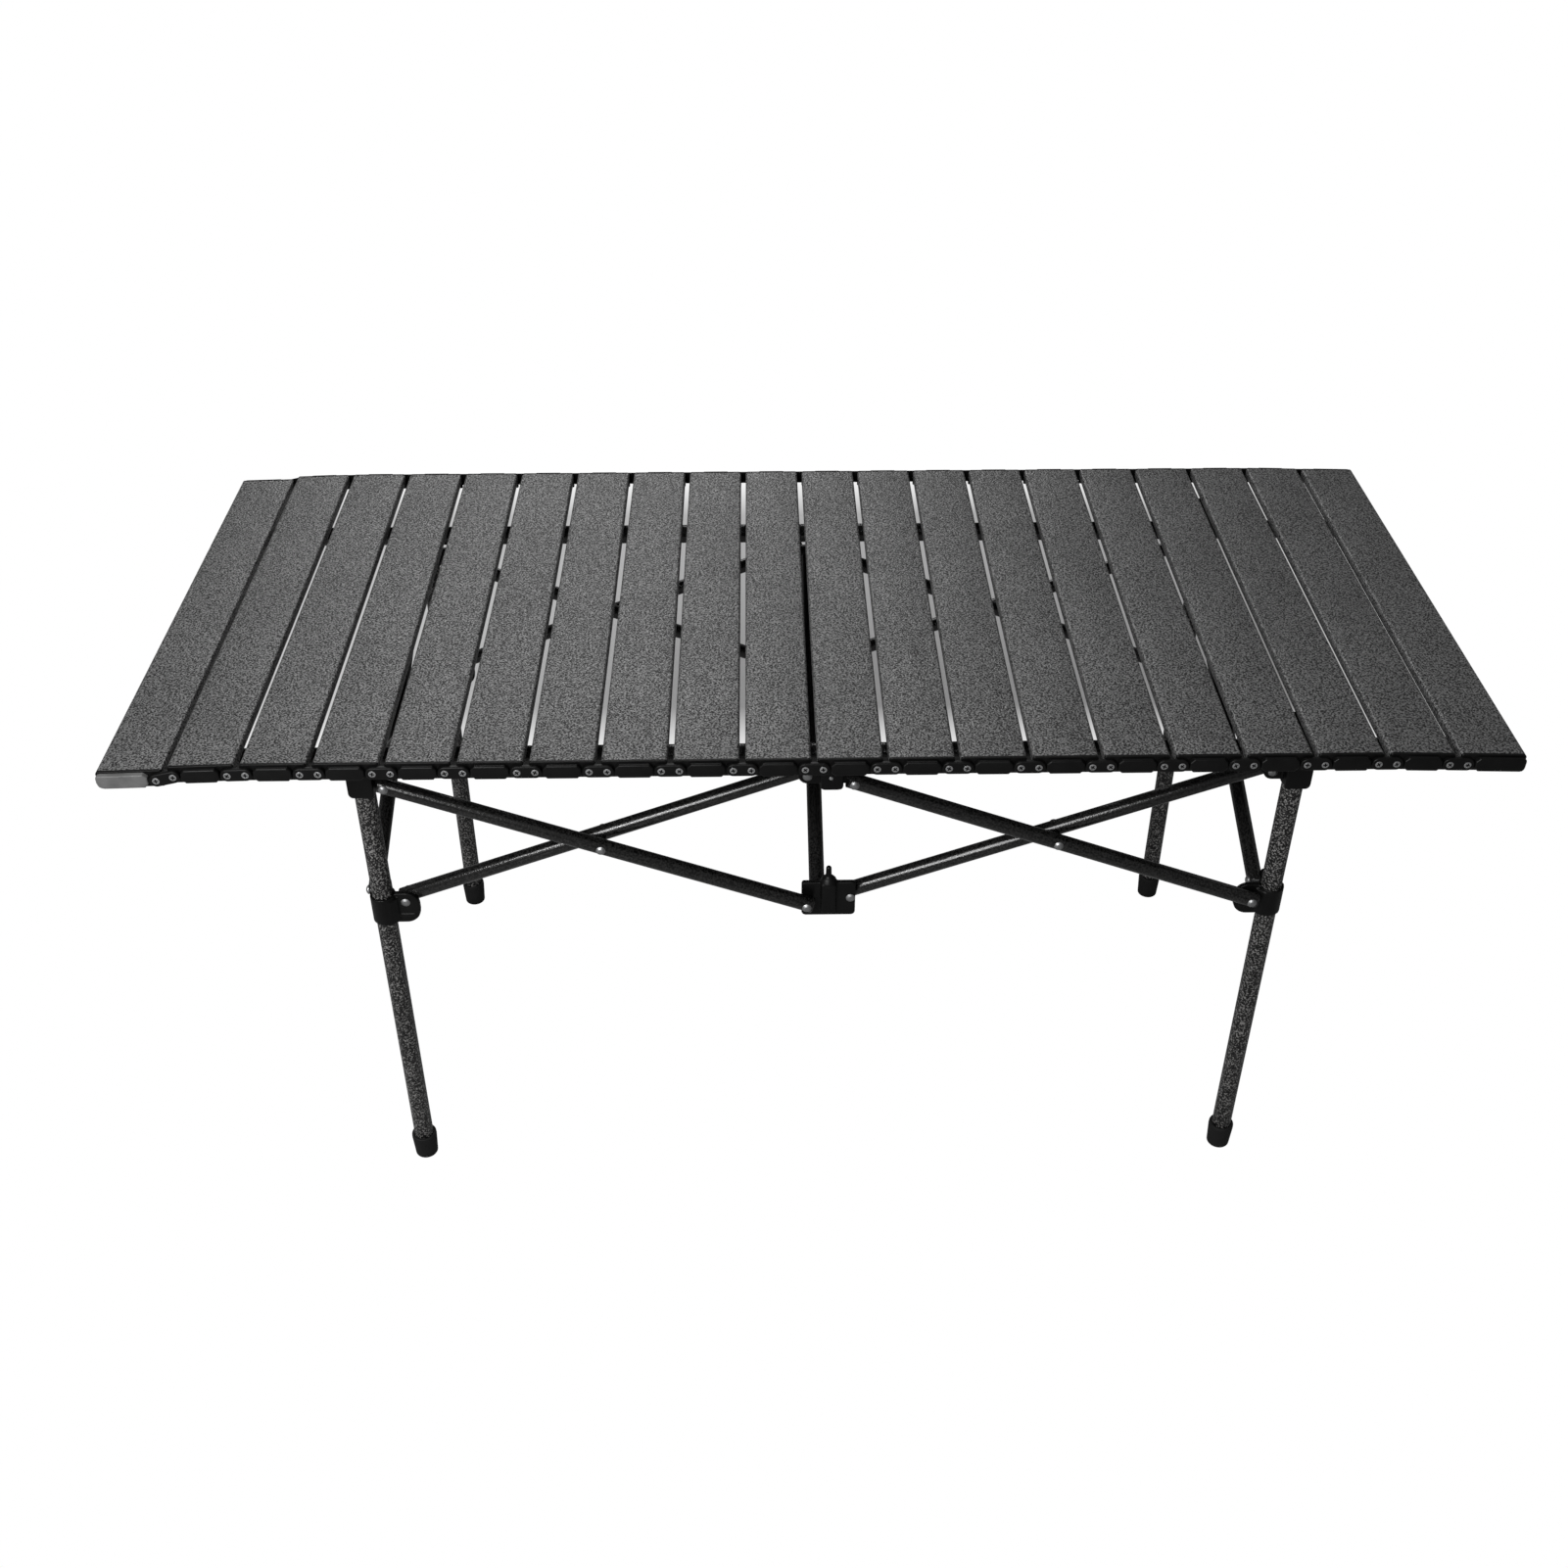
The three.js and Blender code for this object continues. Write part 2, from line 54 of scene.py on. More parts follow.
TABLE_HEIGHT = 540
SLAT_COUNT = 20
SLAT_PITCH = 60
SLAT_WIDTH = 55
SLAT_HALF = 265  # half the length of the aluminium
SLAT_DEPTH = 9
CAP_DEPTH = 16
HINGE_DROP = CAP_DEPTH / 2
SLAT_WALL = 1.2
SLAT_LIP = 9
SLAT_EDGE = 2.4  # radius along a slat's upper edges
CAP_FLANGE = 2.5
CAP_FACE = SLAT_HALF + CAP_FLANGE
PLUG_LENGTH = 14  # of a cap's part inside the channel
PLUG_FIT = 0.2
BOSS_PROUD = 4.5
BOSS_HALF = 16
BOSS_MARGIN = 1.5  # from the boss to the cap's top and bottom
BOSS_CORNER = 3.4  # cut off an inner boss's corners
LINK_SPAN = 15  # between a link's two screws
LINK_RADIUS = 5.8
LINK_THICK = 4
LINK_GAP = 0.3
SCREW_HEAD = 3.3
CROSS_ARM = 2.0  # half the length of the cross in a screw's head
CROSS_WIDTH = 0.62  # half the width of its slots
CROSS_DEPTH = 1.5
SAG_TILT = math.radians(1.5)
SAG_SLATS = 2
FIRST_SLAT_DROP = 3

FRAME_X = 17  # the frame stands this far to the right of the top's middle
BAY_X = 412  # from the frame's middle to its legs
HALF_Y = 202.5
TUBE_RADIUS = 9.5  # legs and rails
TUBE_WALL = 1.2
FIT = 0.3  # between a tube and the plastic around it
BORE = TUBE_RADIUS + FIT
BAR_RADIUS = 7.25
BAR_WALL = 1
PIVOT_TOP = 477
PIVOT_LOW = 337.5
PIVOT_OUT_X = 20.5  # from a leg's axis to the pivots of its bars
PIVOT_OUT_Y = 17
LAYER = 10.15  # from an ear's middle to the axis of the bar beside it
BAR_END_X = 5.8  # bar past its pivot, along the table
BAR_END_Y = 3
RIVET_HEAD = 4.4
RIVET_SHANK = 2.5
SPACER_RADIUS = 3.6
SPACER_SEAT = 1.5  # the spacer at a crossing starts this far inside a bar's skin

EAR_HALF = 2.5  # half an ear's thickness
EAR_RADIUS = 8
LEG_TOP = PIVOT_TOP + 9
SADDLE_FOOT = PIVOT_TOP + 10
BRACKET_TOP = PIVOT_TOP + 12  # of a bracket's lower block, inside its saddle
SADDLE_TOP = TABLE_HEIGHT - SLAT_DEPTH - FIT
SADDLE_WALL = 3.7
BRACKET_WALL = 1.8
CORNER_OUTER = 11.6  # a corner bracket's reach towards the table's end
CORNER_INNER = 11
CORNER_FRONT = 13.5
CENTER_INNER = 11
PIN_RADIUS = 1.9
PIN_FIT = 0.2
COLLAR_RADIUS = BORE + 2
COLLAR_LOW = PIVOT_LOW - 20
COLLAR_HIGH = PIVOT_LOW + 9
HUB_LOW = PIVOT_LOW - 20.5
HUB_HIGH = PIVOT_LOW + 18
HUB_HALF = 25
STUD_RADIUS = 7.8

SOLE = 5
FOOT_HEIGHT = 28
RAIL_Z = 500
RAIL_HALF = 575
RAIL_PLUG = 3
SPIGOT = 35
FLOOR_HALF = 15000

ON_AXIS = 1e-6  # below this radius a point is on its axis
RIM_STEPS = 4  # rings in a rounded rim
ROUND = 48  # sides of a tube
SMALL_ROUND = 28  # sides of a rivet
SCREW_RINGS = 16
VOXEL = 0.65  # grain of the moulded parts' surface before it is smoothed
SMOOTHING = 0.5
SMOOTH_PASSES = 4
KEPT_FACES = 0.35  # share of the moulded parts' faces left after thinning
CUT_PAST = 4  # a leg's bore is cut this far past what it is cut from
TROUGH_PAST = 3  # and a rail's trough this far past its saddle's ends
TROUGH_ABOVE = 5

# The camera stands before the table and well above it, and looks down at it
# through a normal lens.
CAMERA_PLACE = (-0.0453, -1.4653, 1.3933)
CAMERA_TILT = (53.75, 0.0, -0.957)
CAMERA_LENS = 40.58

# -------------------------------------------------------------- plane outlines


def rounded(corners, inset=0.0, steps=6):
    """A counter-clockwise outline whose corners become arcs, moved inwards by inset.

    Each corner is (u, v, radius). An arc has steps + 1 points; a sharp corner has one.
    """
    points = []
    for index, (u, v, radius) in enumerate(corners):
        here = Vector((u, v))
        before = Vector(corners[index - 1][:2])
        after = Vector(corners[(index + 1) % len(corners)][:2])
        inward = (here - before).normalized()
        outward = (after - here).normalized()
        normal = Vector((-inward.y, inward.x))
        miter = normal + Vector((-outward.y, outward.x))
        corner = here + miter * (inset / miter.dot(normal))
        if radius == 0:
            points.append(corner)
            continue
        turn = math.atan2(inward.x * outward.y - inward.y * outward.x, inward.dot(outward))
        bend = math.copysign(1, turn)
        arc = max(radius - inset * bend, 0.05)
        start = corner - inward * (arc * math.tan(abs(turn) / 2))
        centre = start + normal * (arc * bend)
        for step in range(steps + 1):
            points.append(centre + Matrix.Rotation(turn * step / steps, 2) @ (start - centre))
    return points


def rectangle(u0, u1, v0, v1, radii):
    """Corners of a rectangle for rounded(), from the lower left, counter-clockwise."""
    if not isinstance(radii, (list, tuple)):
        radii = [radii] * 4
    places = [(u0, v0), (u1, v0), (u1, v1), (u0, v1)]
    return [(u, v, radius) for (u, v), radius in zip(places, radii)]


def stadium(span, radius):
    """Corners of a plate with round ends about u = 0 and u = -span."""
    return rectangle(-span - radius, radius, -radius, radius, radius * 0.999)


# ---------------------------------------------------------------- solid shapes

AXES = {
    "x": lambda u, v, w: Vector((w, u, v)),
    "y": lambda u, v, w: Vector((u, w, v)),
    "z": lambda u, v, w: Vector((u, v, w)),
}


def prism(bm, axis, corners, low, high, rim=(0.0, 0.0), steps=6, place=None):
    """Adds an outline pushed from low to high along an axis, its two rims rounded."""
    turns = [math.pi / 2 * step / RIM_STEPS for step in range(RIM_STEPS + 1)]
    near, far = rim
    levels = [(low + near, 0.0), (high - far, 0.0)]
    if near:
        start = [(low + near * (1 - math.cos(a)), near * (1 - math.sin(a))) for a in turns[:-1]]
        levels = start + levels
    if far:
        levels += [(high - far * (1 - math.sin(a)), far * (1 - math.cos(a))) for a in turns[1:]]
    place = place or Matrix()
    loops = []
    for depth, inset in levels:
        outline = rounded(corners, inset, steps)
        loops.append([bm.verts.new(place @ AXES[axis](p.x, p.y, depth)) for p in outline])
    for lower, upper in zip(loops, loops[1:]):
        for index in range(len(lower)):
            after = (index + 1) % len(lower)
            bm.faces.new((lower[index], lower[after], upper[after], upper[index]))
    bm.faces.new(loops[0][::-1])
    bm.faces.new(loops[-1])


def revolve(bm, outline, place=None, sides=ROUND):
    """Adds a closed (radius, height) outline turned about +Z.

    Points with no radius lie on the axis.
    """
    place = place or Matrix()
    rings = []
    for radius, height in outline:
        if radius < ON_AXIS:
            rings.append([bm.verts.new(place @ Vector((0, 0, height)))])
            continue
        ring = []
        for side in range(sides):
            angle = TAU * side / sides
            spot = Vector((radius * math.cos(angle), radius * math.sin(angle), height))
            ring.append(bm.verts.new(place @ spot))
        rings.append(ring)
    for near, far in zip(rings, rings[1:] + rings[:1]):
        if len(near) == 1 and len(far) == 1:
            continue
        for side in range(sides):
            after = (side + 1) % sides
            quad = [near[side % len(near)], near[after % len(near)],
                    far[after % len(far)], far[side % len(far)]]
            bm.faces.new(list(dict.fromkeys(quad)))  # three corners where a ring is one point


def tube(bm, radius, wall, low, high, place=None, edge=0.3):
    """Adds an open tube about +Z with softened ends."""
    revolve(bm, rounded(rectangle(radius - wall, radius, low, high, edge), steps=3), place)


# ------------------------------------------------------------------- materials


GRAIN_TURN = (0.5, 0.8, 0.3)  # radians about the three axes
CLOUD = 90  # size in millimetres of the paint's faint clouds
SMEAR = 14  # size of those on plastic
TARNISH = 1.6  # size of those on zinc


class Nodes:
    """A material's node tree with short calls to add and link nodes."""

    def __init__(self, name):
        self.material = bpy.data.materials.new(name)
        self.material.use_nodes = True
        self.tree = self.material.node_tree
        self.shader = self.tree.nodes["Principled BSDF"]

    def add(self, kind, **values):
        node = self.tree.nodes.new(kind)
        for key, value in values.items():
            if hasattr(node, key):
                setattr(node, key, value)
            else:
                node.inputs[key.replace("_", " ")].default_value = value
        return node

    def link(self, source, target):
        self.tree.links.new(source, target)

    def set(self, **values):
        for key, value in values.items():
            self.shader.inputs[key.replace("_", " ")].default_value = value

    def place(self):
        return self.add("ShaderNodeTexCoord").outputs["Object"]

    def grain_place(self):
        """The piece's own place, turned so that no flat face lies along the noise's lattice."""
        turn = self.add("ShaderNodeMapping", Rotation=GRAIN_TURN)
        self.link(self.place(), turn.inputs["Vector"])
        return turn.outputs["Vector"]

    def noise(self, size, detail=2.0, rough=0.5):
        """Noise whose grain is about size millimetres across."""
        node = self.add("ShaderNodeTexNoise", Scale=1 / (size * MM), Detail=detail, Roughness=rough)
        self.link(self.grain_place(), node.inputs["Vector"])
        return node.outputs["Fac"]

    def range(self, source, low, high, to_low=0.0, to_high=1.0):
        """Stretches low..high of a value to to_low..to_high and stops it there."""
        limits = {"From_Min": low, "From_Max": high, "To_Min": to_low, "To_Max": to_high}
        node = self.add("ShaderNodeMapRange", **limits)
        self.link(source, node.inputs["Value"])
        return node.outputs["Result"]

    def mix(self, factor, first, second):
        node = self.add("ShaderNodeMix", data_type="RGBA")
        self.link(factor, node.inputs[0])
        for socket, value in ((node.inputs[6], first), (node.inputs[7], second)):
            if isinstance(value, tuple):
                socket.default_value = (*value, 1)
            else:
                self.link(value, socket)
        return node.outputs[2]

    def math(self, operation, first, second):
        node = self.add("ShaderNodeMath", operation=operation)
        self.link(first, node.inputs[0])
        self.link(second, node.inputs[1])
        return node.outputs[0]

    def bump(self, height, depth):
        """Raises the surface by a value, by up to about depth millimetres."""
        node = self.add("ShaderNodeBump", Strength=1.0, Distance=depth * MM)
        self.link(height, node.inputs["Height"])
        return node.outputs["Normal"]


def grey(value, warm=0.0):
    return (value * (1 + warm), value, value * (1 - warm))


def times(colour, factor):
    return tuple(value * factor for value in colour)


def hammertone(name, dark, light, grain, cover, metallic, rough, depth):
    """Hammered powder coat: raised light pools between dark creases, a little cloudy overall.

    Over the stretch of noise in cover a crease turns into a pool. The higher it is, the more
    of the paint is dark.
    """
    n = Nodes(name)
    fine = n.noise(grain, detail=1.0, rough=0.45)
    pools = n.range(fine, *cover)
    broad = n.range(n.noise(CLOUD, detail=1), 0.3, 0.7)
    low = n.mix(broad, times(dark, 0.88), times(dark, 1.1))
    high = n.mix(broad, times(light, 0.92), times(light, 1.08))
    n.link(n.mix(pools, low, high), n.shader.inputs["Base Color"])
    n.link(n.range(pools, 0, 1, rough + 0.1, rough - 0.05), n.shader.inputs["Roughness"])
    n.link(n.bump(fine, depth), n.shader.inputs["Normal"])
    n.set(Metallic=metallic)
    return n.material


def moulded_plastic(name, colour, rough, grain, depth, shine=0.15):
    """Moulded plastic or rubber with a fine spark-eroded skin."""
    n = Nodes(name)
    skin = n.noise(grain, detail=2)
    broad = n.range(n.noise(SMEAR, detail=2), 0.3, 0.7)
    n.link(n.mix(broad, times(colour, 0.8), times(colour, 1.25)), n.shader.inputs["Base Color"])
    n.link(n.range(broad, 0, 1, rough - 0.05, rough + 0.07), n.shader.inputs["Roughness"])
    n.link(n.bump(skin, depth), n.shader.inputs["Normal"])
    n.set(Specular_IOR_Level=shine)
    return n.material


def zinc_plate(name, value, rough):
    """Bright zinc on small steel parts, faintly cloudy."""
    n = Nodes(name)
    cloud = n.range(n.noise(TARNISH, detail=3), 0.35, 0.65)
    dull, bright = grey(value * 0.82, -0.01), grey(value, -0.01)
    n.link(n.mix(cloud, dull, bright), n.shader.inputs["Base Color"])
    n.link(n.range(cloud, 0, 1, rough + 0.1, rough), n.shader.inputs["Roughness"])
    n.link(n.bump(n.noise(0.5), 0.02), n.shader.inputs["Normal"])
    n.set(Metallic=1.0)
    return n.material


SLAT_PAINT = hammertone(
    "slat_paint", dark=grey(0.006), light=grey(0.165), grain=1.6, cover=(0.4, 0.6),
    metallic=0.35, rough=0.42, depth=0.9)
LEG_PAINT = hammertone(
    "leg_paint", dark=grey(0.0015, 0.02), light=grey(0.2, 0.02), grain=1.7, cover=(0.5, 0.66),
    metallic=0.35, rough=0.34, depth=0.9)
BAR_PAINT = hammertone(
    "bar_paint", dark=grey(0.001), light=grey(0.014, 0.02), grain=1.6, cover=(0.42, 0.6),
    metallic=0.2, rough=0.17, depth=0.15)
NYLON = moulded_plastic("nylon", grey(0.002), rough=0.4, grain=0.5, depth=0.03)
SHADED_NYLON = moulded_plastic(
    "nylon_shaded", grey(0.002), rough=0.75, grain=0.5, depth=0.03, shine=0.03)
# Lighter grey nylon for one cap's raised block: a painted sheen, standing in for light from the low
# left caught on the table's left front corner, not a lighter or worn plastic.
PAINTED_SHEEN_NYLON = moulded_plastic("nylon_painted_sheen", grey(0.09), rough=0.3, grain=0.5, depth=0.02)
RUBBER = moulded_plastic("rubber", grey(0.006), rough=0.7, grain=0.8, depth=0.05)
ZINC = zinc_plate("zinc", 0.5, 0.3)
RIVET_STEEL = zinc_plate("rivet_steel", 0.3, 0.42)
# Near-black zinc for the bottom of a screw's cross: painted shade in the recess, not a darker metal.
RECESS_SHADE = zinc_plate("zinc_recess_painted_shade", 0.05, 0.5)

# ---------------------------------------------------------------------- pieces

BODIES = frame["record"]["behaviour"]["bodies"]
BODY = {node: body for body, nodes in BODIES.items() for node in nodes}


def to_object(name, bm, place=None):
    """A Blender object in metres from a millimetre mesh, its place in its vertices."""
    bmesh.ops.transform(bm, matrix=Matrix.Scale(MM, 4) @ (place or Matrix()), verts=bm.verts)
    bmesh.ops.recalc_face_normals(bm, faces=bm.faces)
    mesh = bpy.data.meshes.new(name)
    bm.to_mesh(mesh)
    bm.free()
    made = bpy.data.objects.new(name, mesh)
    bpy.context.scene.collection.objects.link(made)
    return made


def dress(made, node, materials, stands_for=True, sharp=32):
    """Shades a piece, lets it ride with a CAD node's body, and may stand for that node."""
    for material in materials:
        made.data.materials.append(material)
    made.data.shade_smooth()
    made.data.set_sharp_from_angle(angle=math.radians(sharp))
    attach(made, BODY[node])
    if stands_for:
        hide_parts(node)


def moulding(name, add, cut, place):
    """One moulded part from overlapping solids less others, every edge softly rounded.

    add and cut list functions that put one closed solid into a bmesh.
    """
    objects = []
    for index, shape in enumerate(add + cut):
        bm = bmesh.new()
        shape(bm)
        objects.append(to_object(f"{name}.{index}", bm, place))
    base = objects[0]
    for index, tool in enumerate(objects[1:], start=1):
        step = base.modifiers.new("", "BOOLEAN")
        step.operation = "UNION" if index < len(add) else "DIFFERENCE"
        step.object = tool
        step.solver = "EXACT"
    grain = base.modifiers.new("", "REMESH")
    grain.mode = "VOXEL"
    grain.voxel_size = VOXEL * MM
    soft = base.modifiers.new("", "SMOOTH")
    soft.factor = SMOOTHING
    soft.iterations = SMOOTH_PASSES
    thin = base.modifiers.new("", "DECIMATE")
    thin.ratio = KEPT_FACES
    depsgraph = bpy.context.evaluated_depsgraph_get()
    mesh = bpy.data.meshes.new_from_object(base.evaluated_get(depsgraph))
    for used in objects:
        bpy.data.objects.remove(used)
    made = bpy.data.objects.new(name, mesh)
    bpy.context.scene.collection.objects.link(made)
    return made


# ------------------------------------------------------------------- table top

SLAT_BOTTOM = -SLAT_DEPTH
SLAT_SIDE = SLAT_WIDTH / 2


def slat_place(number):
    """Where a slat's own frame lies: the middle of its top, +X across it."""
    from_end = min(number - 1, SLAT_COUNT - number)
    x = (number - (SLAT_COUNT + 1) / 2) * SLAT_PITCH
    place = Matrix.Translation((x, 0, TABLE_HEIGHT))
    if from_end < SAG_SLATS:
        side = math.copysign(1, x)
        last_gap = side * (SLAT_COUNT / 2 - SAG_SLATS) * SLAT_PITCH
        hinge = Matrix.Translation((last_gap + LINK_SPAN / 2, 0, TABLE_HEIGHT - HINGE_DROP))
        place = hinge @ Matrix.Rotation(side * SAG_TILT, 4, "Y") @ hinge.inverted() @ place
    if number == 1:
        place = Matrix.Translation((0, 0, -FIRST_SLAT_DROP)) @ place
    return place


def slat_profile():
    """Section of a slat, a shallow channel open below between two lips."""
    side = SLAT_SIDE
    inner = side - SLAT_WALL
    mouth = side - SLAT_LIP
    right = [
        (mouth, SLAT_BOTTOM, 0.4),
        (side, SLAT_BOTTOM, 1),
        (side, 0, SLAT_EDGE),
    ]
    hollow = [
        (inner, -SLAT_WALL, 1),
        (inner, SLAT_BOTTOM + SLAT_WALL, 0.4),
        (mouth, SLAT_BOTTOM + SLAT_WALL, 0.4),
    ]
    mirrored = [(-u, v, radius) for u, v, radius in reversed(right)]
    mirrored_hollow = [(-u, v, radius) for u, v, radius in reversed(hollow)]
    return right + mirrored + mirrored_hollow + hollow


def panel(number, place):
    node = f"slat_{number:02d}"
    bm = bmesh.new()
    prism(bm, "y", slat_profile(), -SLAT_HALF, SLAT_HALF, steps=5)
    dress(to_object(f"{node}_panel", bm, place), node, [SLAT_PAINT])


def boss_corners(outer):
    """Outline of the raised block on a cap, with its four corners cut off.

    Where outer is -1 or 1 it runs on to the table's left or right end instead, and is round there.
    """
    reach = SLAT_SIDE - 0.5
    left = -reach if outer < 0 else -BOSS_HALF
    right = reach if outer > 0 else BOSS_HALF
    low, high = BOSS_MARGIN - CAP_DEPTH, -BOSS_MARGIN
    cut = BOSS_CORNER
    soft = 0.8
    if outer < 0:
        left_side = [(left, high, 3), (left, low, 6)]
    else:
        left_side = [
            (left + cut, high, soft),
            (left, high - cut, soft),
            (left, low + cut, soft),
            (left + cut, low, soft),
        ]
    if outer > 0:
        right_side = [(right, low, 4), (right, high, 3)]
    else:
        right_side = [
            (right - cut, low, soft),
            (right, low + cut, soft),
            (right, high - cut, soft),
            (right - cut, high, soft),
        ]
    return left_side + right_side


def cap(number, side, place):
    """Nylon end cap: a plug in the channel, a thin flange and a raised block."""
    outer = {1: -1, SLAT_COUNT: 1}.get(number, 0)
    bm = bmesh.new()
    flange = rectangle(-SLAT_SIDE, SLAT_SIDE, -CAP_DEPTH, 0, [1, 1, SLAT_EDGE, SLAT_EDGE])
    prism(bm, "y", flange, SLAT_HALF + 0.02, CAP_FACE, rim=(0, 0.5))
    wall = SLAT_WALL + PLUG_FIT
    plug = rectangle(wall - SLAT_SIDE, SLAT_SIDE - wall, SLAT_BOTTOM + wall, -wall, 1)
    prism(bm, "y", plug, SLAT_HALF - PLUG_LENGTH, SLAT_HALF + 0.5, rim=(0.8, 0))
    prism(bm, "y", boss_corners(outer), CAP_FACE - 1, CAP_FACE + BOSS_PROUD, rim=(0, 1.3), steps=3)
    materials = [NYLON if side < 0 else SHADED_NYLON]
    # On the first slat's front cap, the raised block's faces get the lighter nylon: a painted sheen
    # on that corner.
    if number == 1 and side < 0:
        materials.append(PAINTED_SHEEN_NYLON)
        for face in bm.faces:
            face.material_index = int(face.calc_center_median().y > CAP_FACE + 0.5)
    label = "front" if side < 0 else "back"
    made = to_object(f"slat_{number:02d}_cap_{label}", bm, place @ Matrix.Diagonal((1, side, 1, 1)))
    dress(made, f"slat_{number:02d}", materials, stands_for=False)


def ramp(value):
    return min(1.0, max(0.0, value))


def screw_head(bm, place, spin):
    """Flat-topped Phillips head: a ring of faces, pressed in along a cross, the bottom of the cross
    dark with painted shade.
    """
    rise, skirt_depth = 0.55, 0.6
    # The cross's deep faces take the near-black zinc, as painted shade in the recess.
    painted_shade_level = -0.25  # faces of the cross below this are dark
    grid = []
    for ring in range(SCREW_RINGS + 1):
        share = ring / SCREW_RINGS
        dome = rise * math.sqrt(max(0.0, 1 - share ** 4))
        row = []
        for side in range(ROUND):
            angle = TAU * side / ROUND
            spot = Vector((math.cos(angle), math.sin(angle))) * (SCREW_HEAD * share)
            across = min(abs(spot.x), abs(spot.y))
            along = max(abs(spot.x), abs(spot.y))
            inside = ramp((CROSS_WIDTH - across) / 0.25) * ramp((CROSS_ARM - along) / 0.35)
            spot.rotate(Matrix.Rotation(spin, 2))
            row.append(bm.verts.new(place @ Vector((*spot, dome - CROSS_DEPTH * inside))))
        grid.append(row)
    skirt = []
    for side in range(ROUND):
        angle = TAU * side / ROUND + spin
        spot = (SCREW_HEAD * math.cos(angle), SCREW_HEAD * math.sin(angle), -skirt_depth)
        skirt.append(bm.verts.new(place @ Vector(spot)))
    grid.append(skirt)
    for near, far in zip(grid, grid[1:]):
        for side in range(ROUND):
            after = (side + 1) % ROUND
            face = bm.faces.new((near[side], near[after], far[after], far[side]))
            level = sum((place.inverted() @ v.co).z for v in face.verts) / 4
            face.material_index = int(level < painted_shade_level and far is not skirt)
    bm.faces.new(skirt[::-1])
    bmesh.ops.remove_doubles(bm, verts=grid[0], dist=1e-5)


def link(number, side, place, draw):
    """Link plate over the gap to the next slat, with its two screws."""
    drop = FIRST_SLAT_DROP if number == 1 else 0
    pin_x = SLAT_PITCH / 2 + LINK_SPAN / 2
    lift = Matrix.Translation((pin_x, 0, drop - HINGE_DROP))
    tilt = Matrix.Rotation(-math.asin(drop / LINK_SPAN), 4, "Y")
    low = CAP_FACE + LINK_GAP
    label = "front" if side < 0 else "back"
    node = f"slat_{number:02d}"
    whole = place @ Matrix.Diagonal((1, side, 1, 1)) @ lift @ tilt
    bm = bmesh.new()
    prism(bm, "y", stadium(LINK_SPAN, LINK_RADIUS), low, low + LINK_THICK, rim=(0.3, 0.9), steps=10)
    skin = NYLON if side < 0 else SHADED_NYLON
    dress(to_object(f"{node}_link_{label}", bm, whole), node, [skin], stands_for=False)
    bm = bmesh.new()
    outwards = Matrix.Rotation(-math.pi / 2, 4, "X")
    for x in (0, -LINK_SPAN):
        seat = Matrix.Translation((x, low + LINK_THICK - 0.3, 0)) @ outwards
        screw_head(bm, seat, draw.uniform(0, math.pi / 2))
    # The screws' second material is the painted shade in their crosses.
    dress(to_object(f"{node}_screws_{label}", bm, whole), node, [ZINC, RECESS_SHADE], stands_for=False)


def table_top():
    """All slats with their caps and links; side -1 is the front, 1 the back."""
    draw = random.Random(4)
    for number in range(1, SLAT_COUNT + 1):
        place = slat_place(number)
        panel(number, place)
        for side in (-1, 1):
            cap(number, side, place)
            if number < SLAT_COUNT:
                link(number, side, place, draw)


table_top()

# ------------------------------------------------------------------------ bars


def across_bar(along, ear_side):
    """Turns +Z of a shape across a bar, towards its ear side, at a distance along it."""
    return Matrix.Translation((along, 0, 0)) @ Matrix.Rotation(math.radians(-90 * ear_side), 4, "X")


def rivet(bm, along, ear_side, far):
    """Rivet through a bar at a distance along it: a domed head outside, a formed head at far."""
    low = -BAR_RADIUS - 1.7
    under_head = 2 - BAR_RADIUS  # inside the bar's round skin
    outline = [
        (0, low, 0),
        (RIVET_HEAD * 0.55, low + 0.25, 2.5),
        (RIVET_HEAD, low + 1.9, 0.5),
        (RIVET_HEAD, under_head, 0),
        (RIVET_SHANK, under_head, 0),
        (RIVET_SHANK, far, 0),
        (RIVET_HEAD, far, 0),
        (RIVET_HEAD * 0.95, far + 0.5, 0.4),
        (RIVET_HEAD * 0.5, far + 1.6, 1.5),
        (0, far + 1.7, 0),
    ]
    revolve(bm, rounded(outline, steps=4), across_bar(along, ear_side), SMALL_ROUND)


def bar(node, start, end, across, ear_side, past, crossing):
    """Scissor bar between two pivots, whose pins lie across it.

    Its ears are on the ear_side of it along that direction. One bar of each crossed pair
    carries the rivet and the spacer of the crossing.
    """
    along = (end - start).normalized()
    length = (end - start).length
    turn = Matrix((along, across, along.cross(across))).transposed().to_4x4()
    place = Matrix.Translation(start) @ turn
    bm = bmesh.new()
    tube(bm, BAR_RADIUS, BAR_WALL, -past, length + past, Matrix.Rotation(math.pi / 2, 4, "Y"))
    dress(to_object(f"{node}_tube", bm, place), node, [BAR_PAINT])
    bm = bmesh.new()
    face = LAYER + EAR_HALF + FIT
    for x in (0, length):
        rivet(bm, x, ear_side, face)
    if crossing:
        rivet(bm, length / 2, ear_side, 2 * LAYER + BAR_RADIUS)
    dress(to_object(f"{node}_rivets", bm, place), node, [RIVET_STEEL], stands_for=False)
    if crossing:
        bm = bmesh.new()
        seat = BAR_RADIUS - SPACER_SEAT
        ring = rounded(rectangle(RIVET_SHANK, SPACER_RADIUS, seat, 2 * LAYER - seat, 0.4))
        revolve(bm, ring, across_bar(length / 2, ear_side), SMALL_ROUND)
        dress(to_object(f"{node}_spacer", bm, place), node, [NYLON], stands_for=False)


# ----------------------------------------------------------- brackets and hubs


